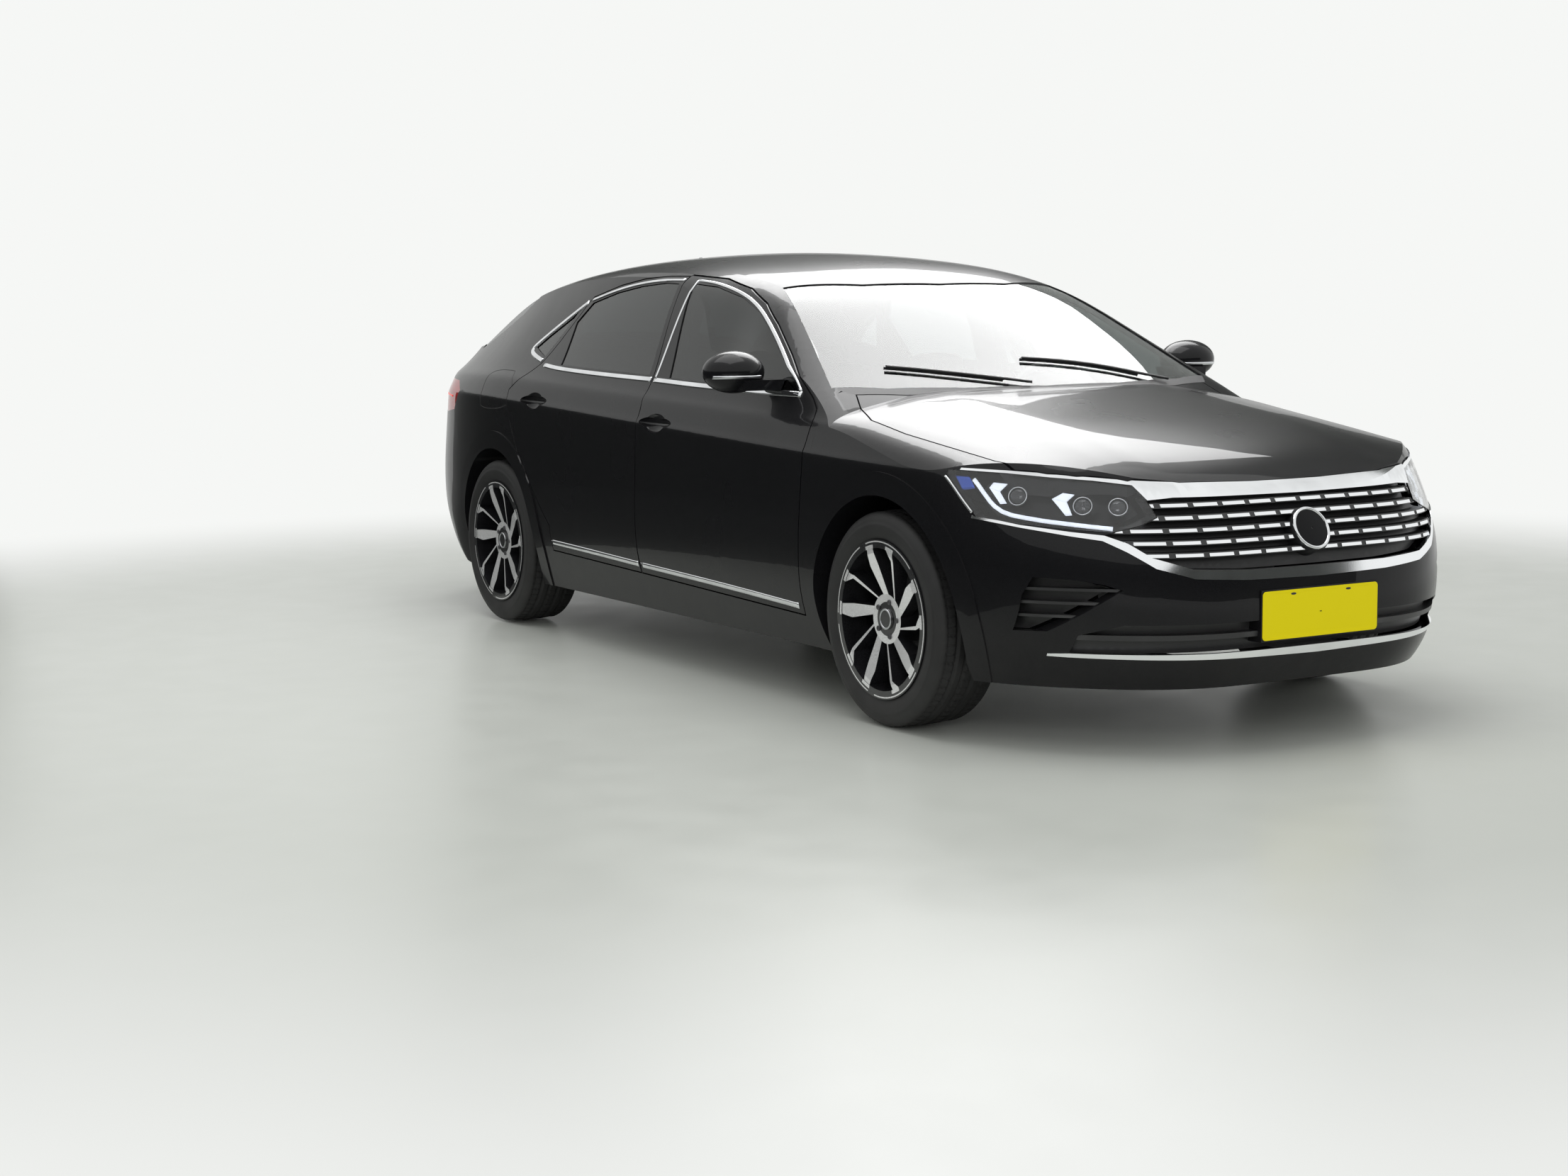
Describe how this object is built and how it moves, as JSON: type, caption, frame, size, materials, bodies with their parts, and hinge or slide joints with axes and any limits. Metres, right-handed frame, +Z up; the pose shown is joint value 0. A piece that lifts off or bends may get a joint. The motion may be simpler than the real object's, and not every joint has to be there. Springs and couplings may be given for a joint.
{
  "type": "four door saloon car",
  "caption": "Four door saloon car with hinged doors, bonnet and boot lid, steered front wheels and a hollow cabin with seats.",
  "frame": {"origin": "on the ground, below the middle of the body", "axes": "+X forward, +Y to the left side, +Z up"},
  "size_m": [4.9334, 2.122, 1.4684],
  "materials": {
    "body_paint": "gloss black paint",
    "roof_gloss": "gloss black roof skin",
    "clear_glass": "clear laminated glass",
    "dark_glass": "dark tinted glass",
    "lamp_glass": "clear lamp cover over a dark housing",
    "tail_lamp": "red lamp cover",
    "grille_black": "gloss black with bright bars",
    "black_plastic": "grained black",
    "sheet_steel": "satin black underbody coat",
    "wheel_alloy": "machined face over black pockets",
    "tyre_rubber": "black",
    "cast_steel": "raw",
    "exhaust_steel": "satin",
    "seat_cloth": "dark upholstery",
    "plate_yellow": "flat yellow, blank",
    "chrome_trim": "bright polished trim",
    "lamp_housing": "dark housing with bright light guides",
    "mirror_paint": "gloss black with satin black lower shell"
  },
  "bodies": {
    "car_body": {"body_side_left": "body_paint", "body_side_right": "body_paint", "cowl": "black_plastic", "dashboard": "black_plastic", "engine_block": "cast_steel", "exhaust": "exhaust_steel", "fender_left": "body_paint", "fender_right": "body_paint", "floor_pan": "sheet_steel", "front_bumper": "body_paint", "front_plate": "plate_yellow", "front_seats": "seat_cloth", "front_subframe": "cast_steel", "front_trim": "chrome_trim", "fuel_tank": "black_plastic", "grille": "grille_black", "headlamps": "lamp_glass", "lamp_units": "lamp_housing", "lower_grille": "black_plastic", "quarter_glass": "dark_glass", "rear_axle": "cast_steel", "rear_bumper": "body_paint", "rear_floor": "sheet_steel", "rear_seat": "seat_cloth", "rear_window": "dark_glass", "roof_panel": "roof_gloss", "steering_wheel": "black_plastic", "tail_lamps": "tail_lamp", "windscreen": "clear_glass"},
    "front_door_left": {"door_front_left": "body_paint", "glass_front_left": "dark_glass", "mirror_left": "mirror_paint"},
    "rear_door_left": {"door_rear_left": "body_paint", "glass_rear_left": "dark_glass"},
    "steering_left": {"knuckle_left": "cast_steel"},
    "front_wheel_left": {"rim_front_left": "wheel_alloy", "tyre_front_left": "tyre_rubber"},
    "rear_wheel_left": {"rim_rear_left": "wheel_alloy", "tyre_rear_left": "tyre_rubber"},
    "front_door_right": {"door_front_right": "body_paint", "glass_front_right": "dark_glass", "mirror_right": "mirror_paint"},
    "rear_door_right": {"door_rear_right": "body_paint", "glass_rear_right": "dark_glass"},
    "steering_right": {"knuckle_right": "cast_steel"},
    "front_wheel_right": {"rim_front_right": "wheel_alloy", "tyre_front_right": "tyre_rubber"},
    "rear_wheel_right": {"rim_rear_right": "wheel_alloy", "tyre_rear_right": "tyre_rubber"},
    "bonnet_lid": {"bonnet": "body_paint"},
    "boot": {"boot_lid": "body_paint"}
  },
  "joints": [
    {"name": "front_door_left_hinge", "type": "hinge", "parent": "car_body", "child": "front_door_left", "pos_m": [1.068, 0.912, 0.65], "axis": [0, 0, -1], "range_deg": [0, 65]},
    {"name": "rear_door_left_hinge", "type": "hinge", "parent": "car_body", "child": "rear_door_left", "pos_m": [-0.084, 0.907, 0.65], "axis": [0, 0, -1], "range_deg": [0, 65]},
    {"name": "steer_left", "type": "hinge", "parent": "car_body", "child": "steering_left", "pos_m": [1.5385, 0.77, 0.33], "axis": [0, 0, 1], "range_deg": [-35, 35]},
    {"name": "front_wheel_left_spin", "type": "hinge", "parent": "steering_left", "child": "front_wheel_left", "pos_m": [1.5385, 0.792, 0.33], "axis": [0, 1, 0], "continuous": true},
    {"name": "rear_wheel_left_spin", "type": "hinge", "parent": "car_body", "child": "rear_wheel_left", "pos_m": [-1.3325, 0.784, 0.33], "axis": [0, 1, 0], "continuous": true},
    {"name": "front_door_right_hinge", "type": "hinge", "parent": "car_body", "child": "front_door_right", "pos_m": [1.068, -0.912, 0.65], "axis": [0, 0, 1], "range_deg": [0, 65]},
    {"name": "rear_door_right_hinge", "type": "hinge", "parent": "car_body", "child": "rear_door_right", "pos_m": [-0.084, -0.907, 0.65], "axis": [0, 0, 1], "range_deg": [0, 65]},
    {"name": "steer_right", "type": "hinge", "parent": "car_body", "child": "steering_right", "pos_m": [1.5385, -0.77, 0.33], "axis": [0, 0, 1], "range_deg": [-35, 35]},
    {"name": "front_wheel_right_spin", "type": "hinge", "parent": "steering_right", "child": "front_wheel_right", "pos_m": [1.5385, -0.792, 0.33], "axis": [0, 1, 0], "continuous": true},
    {"name": "rear_wheel_right_spin", "type": "hinge", "parent": "car_body", "child": "rear_wheel_right", "pos_m": [-1.3325, -0.784, 0.33], "axis": [0, 1, 0], "continuous": true},
    {"name": "bonnet_hinge", "type": "hinge", "parent": "car_body", "child": "bonnet_lid", "pos_m": [1.1, 0, 0.988], "axis": [0, -1, 0], "range_deg": [0, 50]},
    {"name": "boot_hinge", "type": "hinge", "parent": "car_body", "child": "boot", "pos_m": [-1.8, 0, 1.13], "axis": [0, 1, 0], "range_deg": [0, 75]}
  ],
  "couplings": [
    {"joint": "steer_right", "follows": "steer_left", "ratio": 1}
  ]
}
